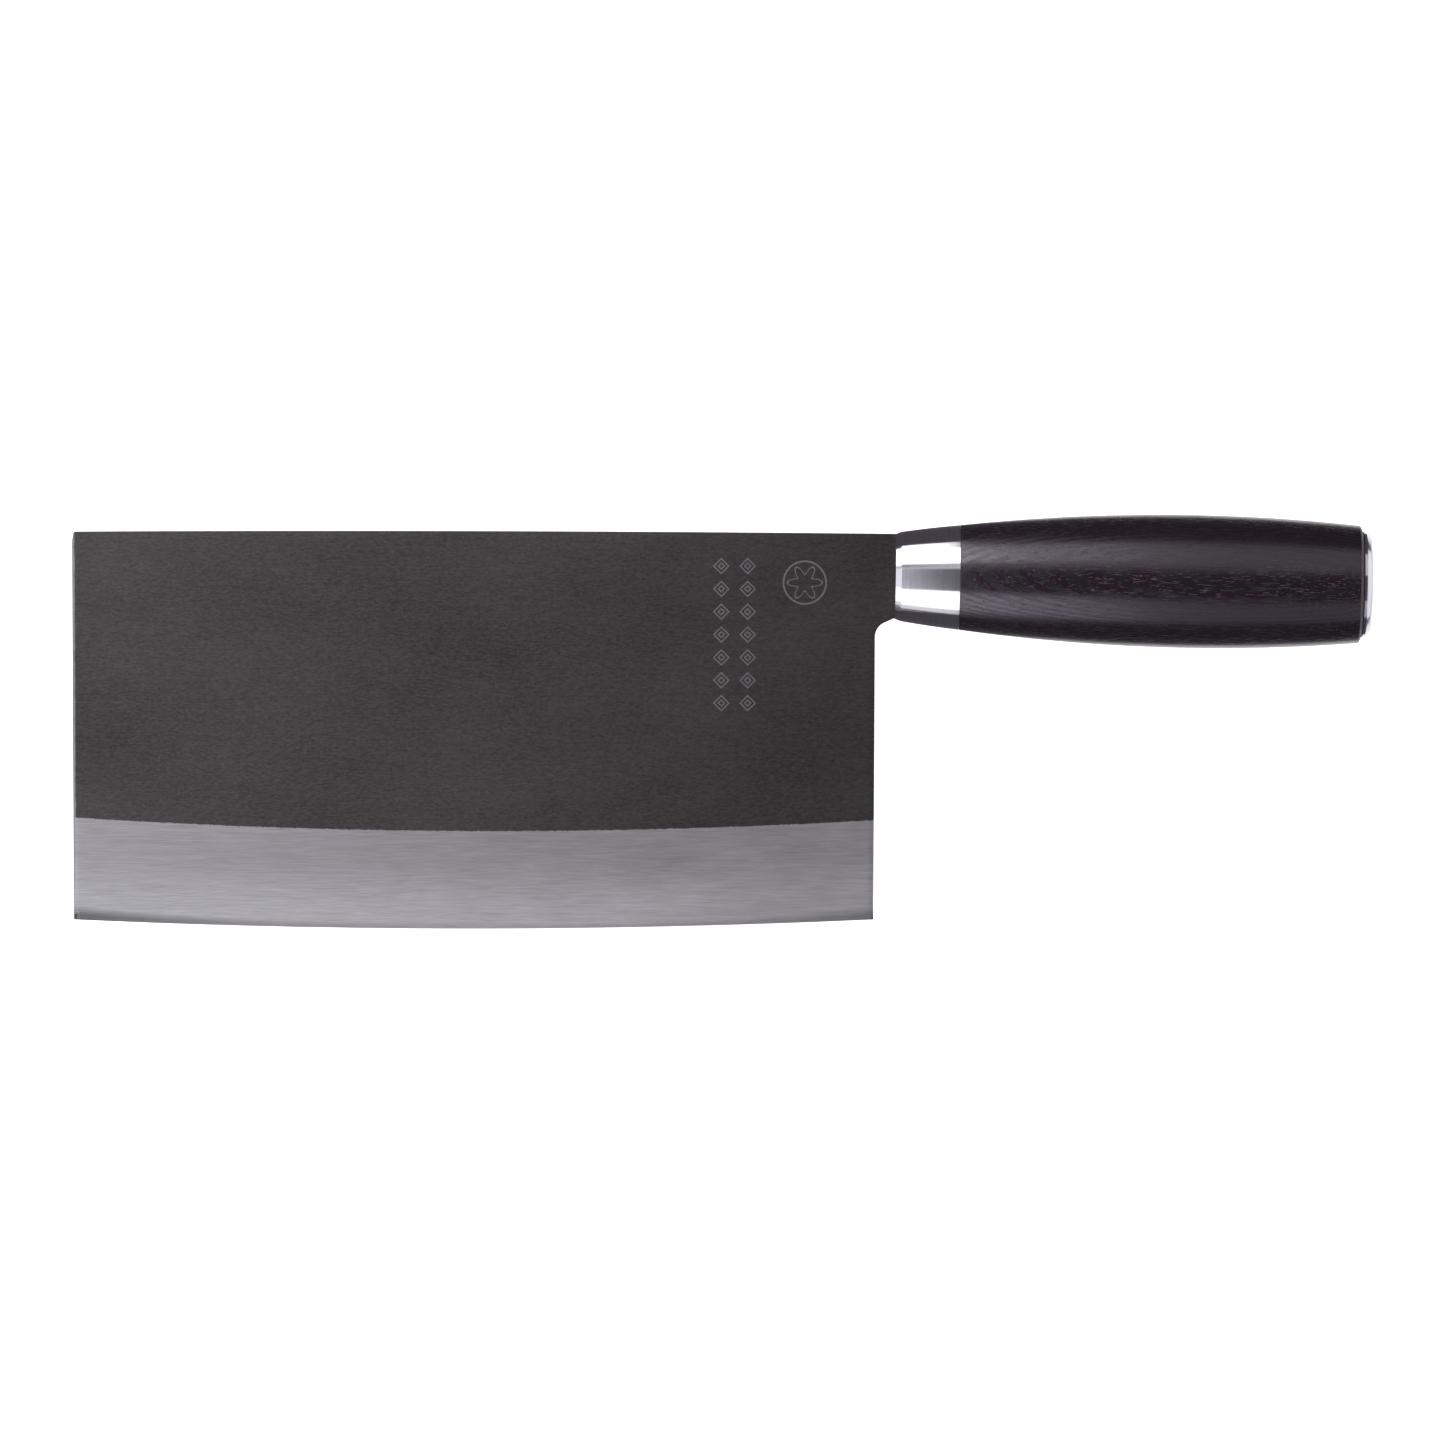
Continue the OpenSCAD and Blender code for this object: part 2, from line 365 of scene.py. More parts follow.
filletY = neckBottom.y + (
    (filletX - neckBottom.x) * math.sin(bladeShape["neckSlope"]) - bladeShape["neckFillet"]
) / math.cos(bladeShape["neckSlope"])
filletTop = filletY + bladeShape["neckFillet"] * math.cos(bladeShape["neckSlope"])


def bowed(values, station, power):
    # a value given at the toe, in the middle and at the heel
    toe, middle, heel = values
    return middle + (heel - toe) / 2 * station + ((heel + toe) / 2 - middle) * abs(station) ** power


def stationAt(x):
    # -1 at the toe, 0 in the middle and 1 at the heel
    return (x - edgeMiddle) / (bladeShape["edgeLength"] / 2)


def edgeY(x):
    return edgeCentreY - math.sqrt(bladeShape["edgeRadius"] ** 2 - (x - edgeMiddle) ** 2)


def spineY(x):
    share = (x - frontX) / -frontX
    straight = tipY + (bladeShape["spineHeight"] - tipY) * share
    return straight + bladeShape["spineBow"] * 4 * share * (1 - share)


def grindAt(x):
    return bowed(bladeShape["grindHeight"], stationAt(x), bladeShape["grindPower"])


def honedAt(x):
    return bowed(bladeShape["honedHeight"], stationAt(x), bladeShape["honedPower"])


def wedgeAt(x, rise):
    # half thickness of the ground wedge at that height over the cutting edge
    low, thin = bladeShape["wedgeFrom"]
    return thin + (halfPlate - thin) * (rise - low) / (grindAt(x) - low)


def toeEnd(y):
    # where the outline starts at that height
    tip = bladeShape["tipRadius"]
    corner = tipY - tip
    if y > corner:
        return frontX + tip - math.sqrt(max(tip ** 2 - (y - corner) ** 2, 0))
    return frontX + bladeShape["toeLean"] * (corner - y) / (corner + neckPlace["edgeDepth"])


def heelEnd(y):
    # where the outline ends at that height, and how squarely it faces along the blade
    if y <= filletY:
        lean = (filletY - y) / (filletY + neckPlace["edgeDepth"])
        return -bladeShape["neckReach"] - bladeShape["heelLean"] * lean, 1.0
    if y < filletTop:
        reach = math.sqrt(bladeShape["neckFillet"] ** 2 - (y - filletY) ** 2)
        return filletX - reach, reach / bladeShape["neckFillet"]
    if y <= neckBottom.y:
        return (neckBottom.x + (y - neckBottom.y) / math.tan(bladeShape["neckSlope"]),
                math.sin(bladeShape["neckSlope"]))
    return y * tiltSlope, 0.0


def bladeRows():
    # each row gives the height and the half thickness at a place along the blade
    soft = bladeShape["softRise"]
    rows = [
        ("edge", lambda x: (edgeY(x), 0.0)),
        ("honed", lambda x: (edgeY(x) + honedAt(x), wedgeAt(x, honedAt(x)))),
        ("soft", lambda x: (edgeY(x) + honedAt(x) + soft, wedgeAt(x, honedAt(x) + soft))),
        ("shoulder", lambda x: (edgeY(x) + grindAt(x), halfPlate)),
    ]
    tangEdge = bladeShape["tangHeight"] / 2 * math.cos(handleTilt)
    filletSteps = bladeShape["filletSteps"]
    levels = list(bladeShape["lowRows"])
    for n in range(filletSteps + 1):
        levels.append(filletY + (filletTop - filletY) * math.sin(math.pi / 2 * n / filletSteps))
    corner = neckBottom.y
    levels += [corner, corner + bladeShape["neckRow"], -tangEdge, tangEdge, bladeShape["highRow"]]
    rows += [("flat", lambda x, y=y: (y, halfPlate)) for y in levels]
    ease, spineSteps = bladeShape["spineEase"], bladeShape["spineSteps"]
    for n in range(spineSteps + 1):
        turn = math.pi / 2 * n / spineSteps
        drop, thin = ease * (1 - math.sin(turn)), ease * (1 - math.cos(turn))
        rows.append(("spine", lambda x, drop=drop, thin=thin: (spineY(x) - drop, halfPlate - thin)))
    rows.append(("spineMiddle", lambda x: (spineY(x), 0.0)))
    return rows


def endRound(share, reach):
    # a quarter round over the end of a row: how far in, and how far down
    turn = math.pi / 2 * share
    return reach * (1 - math.cos(turn)), reach * (1 - math.sin(turn))


def bladePlace(levelAt, column, last):
    # where a grid point goes, from the middle of the toe to the middle of the heel
    roundSteps, most = bladeShape["roundSteps"], bladeShape["easeShare"]
    toe = toeEnd(levelAt(toeX)[0])
    heel, square = heelEnd(levelAt(heelX)[0])
    toeRound = min(bladeShape["toeEase"], levelAt(toe)[1] * most)
    heelRound = min(bladeShape["heelEase"], levelAt(heel)[1] * most) if square else 0.0
    if column <= roundSteps:
        inward, drop = endRound(column / roundSteps, toeRound)
        x = toe + inward
    elif column >= last - roundSteps:
        inward, drop = endRound((last - column) / roundSteps, heelRound)
        x = heel - (inward / square if square else 0.0)
    else:
        start, end = toe + toeRound, heel - (heelRound / square if square else 0.0)
        share = (column - roundSteps) / (last - 2 * roundSteps)
        x, drop = start + (end - start) * share, 0.0
    y, half = levelAt(x)
    return Vector((x, y, 0.0 if column in (-1, last + 1) else max(half - drop, 0.0)))


def makeBlade(finishes):
    rows = bladeRows()
    last = bladeShape["columns"]
    bm = bmesh.new()
    rowLayer = bm.verts.layers.int.new("row")
    grid = bmesh.ops.create_grid(bm, x_segments=last + 2, y_segments=len(rows) - 1, size=1)["verts"]
    for n, vert in enumerate(grid):
        row, column = divmod(n, last + 3)
        vert.co = bladePlace(rows[row][1], column - 1, last)
        vert[rowLayer] = row
    bmesh.ops.remove_doubles(bm, verts=bm.verts, dist=weldGap)
    bmesh.ops.mirror(
        bm, geom=bm.verts[:] + bm.edges[:] + bm.faces[:], matrix=Matrix(), merge_dist=weldGap, axis="Z",
    )
    bmesh.ops.remove_doubles(bm, verts=bm.verts, dist=weldGap)
    bmesh.ops.dissolve_degenerate(bm, edges=bm.edges, dist=weldGap)
    shoulder = [kind for kind, levelAt in rows].index("shoulder")
    for edge in bm.edges:
        if all(vert[rowLayer] == shoulder for vert in edge.verts):
            edge.smooth = False  # the plate's face breaks sharply into the bevel
    addTang(bm)
    sharpFrom = bladeShape["sharpFrom"]
    return finishPiece("cleaverBlade", bm, onBlade, finishes, "blade", sharpFrom)


def addTang(bm):
    # the flat tang grows out of the neck's end face, along the handle's axis
    axis = Vector((math.cos(handleTilt), -math.sin(handleTilt), 0))
    halfTang = bladeShape["tangHeight"] / 2

    def onNeckEnd(face):
        middle = face.calc_center_median()
        return abs(middle.x - middle.y * tiltSlope) < nearness and abs(middle.y) < halfTang
    root = [face for face in bm.faces if onNeckEnd(face)]
    step = bladeShape["tangStep"]
    for slide, narrow in ((step, bladeShape["tangThickness"] / bladeShape["thickness"]),
                          (bladeShape["tangLength"] - step, 1.0)):
        rim = list({edge for face in root for edge in face.edges})
        grown = bmesh.ops.extrude_face_region(bm, geom=root + rim)["geom"]
        verts = [part for part in grown if isinstance(part, bmesh.types.BMVert)]
        root = [part for part in grown if isinstance(part, bmesh.types.BMFace)]
        bmesh.ops.scale(bm, vec=(1, 1, narrow), verts=verts)
        bmesh.ops.translate(bm, vec=axis * slide, verts=verts)
    for face in bm.faces:
        if face.calc_center_median().dot(axis) > step / 2:
            face.material_index = 1


bolsterShape = {
    "length": 16.3,
    "frontRadius": 10.8,
    "chamfer": (1.4, 11.35),  # where the front chamfer meets the side, along and across
    "jointRadius": 13.3,
    "sideRadius": 250.0,
    "tenon": (5.0, 8.0),  # length and radius
    "slot": (12.1, 1.9),
    "frontEase": 0.15,
    "rearEase": 0.1,
    "sideSteps": 10,
}
gripShape = {
    "widest": (75.0, 16.9),  # along and across
    "end": 118.4,
    "endRadius": 14.9,
    "endChamfer": (0.6, 1.3),
    "bores": ((54.0, 6.5), (107.4, 4.0), (118.4, 8.0)),  # how far back each bore reaches, and its radius
    "frontEase": 0.12,
    "chamferEase": 0.25,
    "frontSteps": 40,
    "rearSteps": 30,
}
spacerShape = {"length": 0.3, "radius": 13.3, "bore": 8.0}
capShape = {
    "radius": 13.4,
    "rim": 0.65,
    "domeRadius": 12.5,
    "domeBase": 2.0,
    "domeRise": 0.6,
    "spigot": (6.0, 6.35, 7.95),  # length, bore and outer radius
    "rimEase": 0.12,
    "domeEase": 0.6,
    "domeSteps": 14,
}
turnSteps = 144  # round the handle


def bowRadius(halfChord, rise):
    # radius of the arc that rises by that much over that half chord
    return (halfChord ** 2 + rise ** 2) / (2 * rise)


def weighNormals(piece):
    # keeps flat faces flat where they meet a small rounding
    weighted = piece.modifiers.new("flat faces stay flat", "WEIGHTED_NORMAL")
    weighted.keep_sharp = True
    return piece


def makeBolster(finish):
    shape = bolsterShape
    tenonLength, tenonRadius = shape["tenon"]
    rear = shape["length"] + tenonLength
    bm = bmesh.new()
    last = startLine(bm, 0, shape["frontRadius"])
    last = lineTo(bm, last, *shape["chamfer"])
    last = arcTo(bm, last, shape["length"], shape["jointRadius"], -shape["sideRadius"], shape["sideSteps"])
    last = lineTo(bm, last, shape["length"], tenonRadius)
    lineTo(bm, last, rear, tenonRadius)
    turnAround(bm, turnSteps)
    easeRing(bm, *shape["chamfer"], shape["frontEase"])
    easeRing(bm, shape["length"], shape["jointRadius"], shape["rearEase"])
    rings = [edge for edge in bm.edges if edge.is_boundary]
    # the slot that the tang comes through, as a tube from end to end
    slot = bmesh.ops.create_grid(bm, x_segments=1, y_segments=1, size=0.5)["verts"]
    bmesh.ops.scale(bm, vec=(*shape["slot"], 1), verts=slot)
    bmesh.ops.rotate(bm, matrix=Matrix.Rotation(math.pi / 2, 3, "Z"), verts=slot)
    bmesh.ops.rotate(bm, matrix=Matrix.Rotation(math.pi / 2, 3, "Y"), verts=slot)
    slotFaces = list({face for vert in slot for face in vert.link_faces})
    bmesh.ops.delete(bm, geom=slotFaces, context="FACES_ONLY")
    frontLoop = list({edge for vert in slot for edge in vert.link_edges})
    tube = bmesh.ops.extrude_edge_only(bm, edges=frontLoop)["geom"]
    rearVerts = [part for part in tube if isinstance(part, bmesh.types.BMVert)]
    rearLoop = [edge for edge in bm.edges if all(vert in rearVerts for vert in edge.verts)]
    bmesh.ops.translate(bm, vec=(rear, 0, 0), verts=rearVerts)
    for place, loop in ((0, frontLoop), (rear, rearLoop)):
        ring = [edge for edge in rings if abs(edge.verts[0].co.x - place) < nearness]
        bmesh.ops.bridge_loops(bm, edges=ring + loop)
    return weighNormals(finishPiece("frontBolster", bm, onHandle, [finish], "bolster"))


def makeGrip(finish):
    shape = gripShape
    start, startRadius = bolsterShape["length"], bolsterShape["jointRadius"]
    tenonLength, tenonRadius = bolsterShape["tenon"]
    widest, widestRadius = shape["widest"]
    chamferLength, chamferDrop = shape["endChamfer"]
    chamferFrom = shape["end"] - chamferLength
    bm = bmesh.new()
    first = last = startLine(bm, start, startRadius)
    frontBow = bowRadius(widest - start, widestRadius - startRadius)
    last = arcTo(bm, last, widest, widestRadius, -frontBow, shape["frontSteps"])
    rearBow = bowRadius(chamferFrom - widest, widestRadius - shape["endRadius"])
    last = arcTo(bm, last, chamferFrom, shape["endRadius"], -rearBow, shape["rearSteps"])
    last = lineTo(bm, last, shape["end"], shape["endRadius"] - chamferDrop)
    for reach, radius in reversed(shape["bores"]):
        last = lineTo(bm, last, reach, radius)
        deeper = [far for far, bore in shape["bores"] if far < reach]
        last = lineTo(bm, last, deeper[-1] if deeper else start + tenonLength, radius)
    last = lineTo(bm, last, start + tenonLength, tenonRadius)
    last = lineTo(bm, last, start, tenonRadius)
    lineTo(bm, last, *first.co.xy)
    turnAround(bm, turnSteps)
    easeRing(bm, start, startRadius, shape["frontEase"], 2)
    easeRing(bm, chamferFrom, shape["endRadius"], shape["chamferEase"])
    return weighNormals(finishPiece("woodGrip", bm, onHandle, [finish], "grip"))


def makeSpacer(finish):
    shape = spacerShape
    start = gripShape["end"]
    end = start + shape["length"]
    bm = bmesh.new()
    first = last = startLine(bm, start, shape["bore"])
    for along, across in ((start, shape["radius"]), (end, shape["radius"]), (end, shape["bore"])):
        last = lineTo(bm, last, along, across)
    lineTo(bm, last, *first.co.xy)
    turnAround(bm, turnSteps)
    return weighNormals(finishPiece("capSpacer", bm, onHandle, [finish], "cap_spacer"))


def makeEndCap(finish):
    shape = capShape
    start = gripShape["end"] + spacerShape["length"]
    spigotLength, spigotBore, spigotRadius = shape["spigot"]
    rim, base = start + shape["rim"], start + shape["domeBase"]
    bm = bmesh.new()
    last = startLine(bm, start, 0)
    for along, across in (
        (start, spigotBore), (start - spigotLength, spigotBore), (start - spigotLength, spigotRadius),
        (start, spigotRadius), (start, shape["radius"]), (rim, shape["radius"]), (base, shape["domeRadius"]),
    ):
        last = lineTo(bm, last, along, across)
    domeBow = bowRadius(shape["domeRadius"], shape["domeRise"])
    arcTo(bm, last, base + shape["domeRise"], 0, -domeBow, shape["domeSteps"])
    turnAround(bm, turnSteps)
    easeRing(bm, rim, shape["radius"], shape["rimEase"])
    easeRing(bm, base, shape["domeRadius"], shape["domeEase"])
    return weighNormals(finishPiece("endCap", bm, onHandle, [finish], "end_cap"))


bladeLook = {
    "coatDark": (0.0205, 0.0176, 0.0180, 1),
    "coatLight": (0.077, 0.0705, 0.0715, 1),
    "coatRange": (0.45, 0.95),  # the mottle's values that give the dark and the light coat
    "coatShares": (0.35, 0.65, 0.4),  # of the brush marks, the speckle and the cloud in the mottle
    "coatPaintedShade": (0.97, 1.0, 0.90),  # painted shade: the coat's tone at the toe, in the middle and at the heel, darkest at the heel where less light falls
    "speckle": ((0.9, 2.2, 2.2), 3.0, 0.7),
    "cloud": ((0.012, 0.03, 0.03), 3.0, 0.5),
    "etchAndToeHighlightColour": (0.30, 0.29, 0.31, 1),  # the pale coat: a painted highlight along the toe's rounded edge, and the etched ornament
    "toeHighlightBand": (0.8, 0.32),  # mm from the toe where the painted highlight starts, and where it is full
    "toeHighlightAndEtchShares": (0.75, 0.42),  # how far the coat turns pale: the painted highlight along the toe, and the etched ornament
    "steelDark": (0.192, 0.187, 0.194, 1),
    "steelLight": (0.400, 0.390, 0.405, 1),
    "steelRange": (0.2, 0.8),  # the brush marks' values that give the dark and the light steel
    "upperPaintedSheen": (0.95, 0.97, 1.13),  # painted sheen: the ground bevel's tone along its top, lighter towards the heel
    "lowerPaintedSheen": (0.16, 0.38, 0.34),  # painted sheen: how much lighter it gets towards the edge
    "lowerBand": (0.75, 0.15),  # in shares of the bevel's height, where that painted sheen starts and is full
    "groundBand": (0.12, -0.12),  # mm about the bevel's top over which the coat gives way
    "honedPaintedShade": (0.36, 0.7, 0.5),  # painted shade: the finishing bevel's tone at the toe, in the middle and at the heel
    "honedBand": (1.45, 0.5),  # in shares of the finishing bevel's height, where that painted shade starts and is full
    "coatRoughness": 0.5,
    "steelRoughness": 0.45,
    "coatMetallic": 0.8,
    "anisotropy": 0.3,
    "smears": 0.12,
    "brushMarks": (0.18, 8.0, 8.0),  # per millimetre, along and across the blade
    "ragged": ((1.1, 0.3, 0.3), 4.0, 0.7),
    "wander": 0.35,  # mm that the coat's lower limit strays
    "bump": (0.2, 0.01),  # strength, and depth in millimetres
}
ornament = {
    "medallion": (-23.0, -1.6, 5.4),  # middle along, middle up, radius
    "lobes": 6.0,
    "star": (0.22, 0.6),  # the depth of the lobes and the middle radius, in shares of the ring's
    "columns": (-44.2, -37.5),
    "columnTop": 2.6,
    "pitch": 5.8,
    "rows": 7,
    "halfSize": 1.9,
    "inset": 1.14,  # of the inner lozenge
    "lineFade": (0.2925, 0.1575),  # mm from a line's middle where it starts, and where it is full
    "faceFrom": 0.8,  # of the plate's half thickness, so that only the upper face is marked
}


def bowedSocket(tree, values, station, power):
    # the same as bowed, as nodes
    toe, middle, heel = values
    curve = calc(tree, "POWER", calc(tree, "ABSOLUTE", station), power)
    rise = times(tree, curve, (heel + toe) / 2 - middle)
    return plus(tree, calc(tree, "MULTIPLY_ADD", station, (heel - toe) / 2, middle), rise)


def ornamentMask(tree, x, y, z):
    # a ring with a star in it, and two columns of plain lozenges, on the upper face only
    shape = ornament
    centreX, centreY, radius = shape["medallion"]
    lobeDepth, starRadius = [share * radius for share in shape["star"]]

    def line(distance):
        return ramp(tree, calc(tree, "ABSOLUTE", distance), *shape["lineFade"])
    dx, dy = minus(tree, x, centreX), minus(tree, y, centreY)
    reach = reachOf(tree, dx, dy)
    around = calc(tree, "COSINE", times(tree, calc(tree, "ARCTAN2", dy, dx), shape["lobes"]))
    star = calc(tree, "MULTIPLY_ADD", around, lobeDepth, starRadius)
    marks = calc(tree, "MAXIMUM", line(minus(tree, reach, radius)), line(minus(tree, reach, star)))
    low = shape["columnTop"] - shape["pitch"] * (shape["rows"] - 0.5)
    high = shape["columnTop"] + shape["pitch"] / 2
    inside = times(tree, calc(tree, "GREATER_THAN", y, low), calc(tree, "LESS_THAN", y, high))
    step = calc(tree, "PINGPONG", minus(tree, y, shape["columnTop"]), shape["pitch"] / 2)
    for column in shape["columns"]:
        side = calc(tree, "ABSOLUTE", minus(tree, x, column))
        size = minus(tree, plus(tree, side, step), shape["halfSize"])
        lozenge = calc(tree, "MAXIMUM", line(size), line(plus(tree, size, shape["inset"])))
        marks = calc(tree, "MAXIMUM", marks, times(tree, lozenge, inside))
    return times(tree, marks, calc(tree, "GREATER_THAN", z, halfPlate * shape["faceFrom"]))


def makeBladeFinish():
    look, shape = bladeLook, bladeShape
    finish, tree, shader = newFinish("coatedBladeSteel", Anisotropic=look["anisotropy"])
    point = localPoint(tree, False)
    x, y, z = parts(tree, point)
    station = times(tree, minus(tree, x, edgeMiddle), 2 / shape["edgeLength"])

    def along(values, power=2):
        return bowedSocket(tree, values, station, power)

    # height over the cutting edge, which is an arc
    fromCentre = addNode(tree, "ShaderNodeVectorMath", operation="DISTANCE")
    tree.links.new(joined(tree, x, y, 0.0), fromCentre.inputs[0])
    fromCentre.inputs[1].default_value = (edgeMiddle, edgeCentreY, 0)
    rise = minus(tree, shape["edgeRadius"], fromCentre.outputs["Value"])
    ragged = grainNoise(tree, point, *look["ragged"])
    stray = calc(tree, "MULTIPLY_ADD", ragged, look["wander"] * 2, -look["wander"])
    overGrind = plus(tree, minus(tree, rise, along(shape["grindHeight"], shape["grindPower"])), stray)
    ground = ramp(tree, overGrind, *look["groundBand"])
    honed = calc(tree, "DIVIDE", rise, along(shape["honedHeight"], shape["honedPower"]))
    honed = ramp(tree, honed, *look["honedBand"], smooth=False)
    marks = useGroup(tree, brushMarks, Point=point, Fineness=look["brushMarks"])["Tone"]
    speckle = grainNoise(tree, point, *look["speckle"])
    cloud = grainNoise(tree, point, *look["cloud"])

    # the coat, the etched ornament, and a painted highlight along the toe
    marksShare, speckleShare, cloudShare = look["coatShares"]
    coatTone = plus(tree, times(tree, marks, marksShare), times(tree, speckle, speckleShare))
    coatTone = plus(tree, coatTone, times(tree, cloud, cloudShare))
    coatTone = ramp(tree, coatTone, *look["coatRange"], smooth=False)
    coat = blend(tree, coatTone, look["coatDark"], look["coatLight"])
    # painted shade: the coat darker towards the ends, most at the heel
    coat = scaled(tree, coat, along(look["coatPaintedShade"]))
    lean = shape["toeLean"] / (tipY + neckPlace["edgeDepth"])
    fromToe = minus(tree, x, calc(tree, "MULTIPLY_ADD", y, -lean, frontX + lean * tipY))
    toeLitShare, ornamentShare = look["toeHighlightAndEtchShares"]
    # painted highlight: a light strip along the toe, where its rounded edge catches the light
    toeLitEdge = times(tree, ramp(tree, plus(tree, fromToe, stray), *look["toeHighlightBand"]), toeLitShare)
    ornamentWear = times(tree, ornamentMask(tree, x, y, z), ornamentShare)
    coat = blend(tree, calc(tree, "MAXIMUM", toeLitEdge, ornamentWear), coat, look["etchAndToeHighlightColour"])

    # the bare steel of the two bevels, with a painted sheen and a painted shade on it
    steelTone = ramp(tree, marks, *look["steelRange"], smooth=False)
    steel = blend(tree, steelTone, look["steelDark"], look["steelLight"])
    # painted sheen: the ground bevel lighter towards the edge and towards the heel
    lower = ramp(tree, calc(tree, "DIVIDE", rise, shape["grindHeight"][1]), *look["lowerBand"])
    sheen = calc(tree, "MULTIPLY_ADD", lower, along(look["lowerPaintedSheen"]), along(look["upperPaintedSheen"]))
    # painted shade: the finishing bevel is darkened, most at the toe
    shade = minus(tree, along(look["honedPaintedShade"]), 1.0)
    sheen = times(tree, sheen, calc(tree, "MULTIPLY_ADD", honed, shade, 1.0))
    steel = scaled(tree, steel, sheen)

    tree.links.new(blend(tree, ground, coat, steel), shader.inputs["Base Color"])
    metallic = calc(tree, "MULTIPLY_ADD", ground, 1.0 - look["coatMetallic"], look["coatMetallic"])
    tree.links.new(metallic, shader.inputs["Metallic"])
    change = look["steelRoughness"] - look["coatRoughness"]
    rough = calc(tree, "MULTIPLY_ADD", ground, change, look["coatRoughness"])
    smears = useGroup(tree, handlingSmears, Point=point, Amount=look["smears"])["Rough"]
    tree.links.new(plus(tree, rough, smears), shader.inputs["Roughness"])
    tree.links.new(joined(tree, 0.0, 1.0, 0.0), shader.inputs["Tangent"])
    bumpFrom(tree, shader, plus(tree, marks, speckle), *look["bump"])
    return finish


turnedLook = {
    "dark": (0.48, 0.475, 0.51, 1),
    "light": (0.68, 0.675, 0.71, 1),
    "range": (0.2, 0.8),  # the ring marks' values that give the dark and the light steel
    "ringMarks": (9.0, 0.12, 0.12),
    "roughness": (0.08, 0.11),  # what the ring marks add, and the least
    "anisotropy": 0.75,
    "smears": 0.1,
    "bump": (0.1, 0.004),
}


def makeTurnedSteel():
    look = turnedLook
    finish, tree, shader = newFinish("brushedTurnedSteel", Metallic=1.0, Anisotropic=look["anisotropy"])
    point = localPoint(tree, True)
    x, y, z = parts(tree, point)
    rings = joined(tree, plus(tree, x, reachOf(tree, y, z)), y, z)  # so that the end faces carry rings too
    marks = useGroup(tree, brushMarks, Point=rings, Fineness=look["ringMarks"])["Tone"]
    tone = ramp(tree, marks, *look["range"], smooth=False)
    tree.links.new(blend(tree, tone, look["dark"], look["light"]), shader.inputs["Base Color"])
    smears = useGroup(tree, handlingSmears, Point=point, Amount=look["smears"])["Rough"]
    rough = plus(tree, calc(tree, "MULTIPLY_ADD", marks, *look["roughness"]), smears)
    tree.links.new(rough, shader.inputs["Roughness"])
    axis = joined(tree, math.cos(handleTilt), -math.sin(handleTilt), 0.0)
    tree.links.new(axis, shader.inputs["Tangent"])
    bumpFrom(tree, shader, marks, *look["bump"])
    return finish


woodLook = {
    "layerLean": (0.025, 0.07),  # how the laminations' faces lean, along the handle and towards the spine
    "layer": 0.4,
    "boundary": 16.62,  # mm from the axis, where one glue line passes
    "feather": 0.16,  # mm that the fibres blur a boundary
    "veneer": (0.6, 0.1),  # how much paler every second layer is, and how much any layer may be
    "figureStep": 37.0,  # mm that the figure moves on from one layer to the next
    "fibre": ((0.06, 1.8, 1.8), 4.0, 0.65),
    "streak": ((0.05, 2.0, 2.0), 5.0, 0.7),
    "cloud": ((0.07, 0.25, 0.25), 3.0, 0.55),
    "cloudShare": 0.5,
    "pores": ((0.30, 5.0, 5.0), 2.0, 0.5),
    "poreBand": (0.38, 0.32),
    "poreShade": -0.5,
    "range": (0.7, 1.5),  # the figure's values that give the dark and the light wood
    "dark": (0.0010, 0.0002, 0.0007, 1),
    "light": (0.0138, 0.0050, 0.0115, 1),
    "specular": 0.8,
    "specularTint": (0.95, 0.86, 1.0, 1),
    "roughness": 0.32,
    "sheenRange": 0.16,  # how much glossier the pale fibres are
    "endBand": (-0.2, 0.1),  # mm about the end chamfer's start over which the gloss goes
    "endRoughness": 0.35,
    "smears": 0.1,
    "relief": (0.6, -0.7),  # of the streaks and the pores
    "bump": (0.7, 0.07),
}


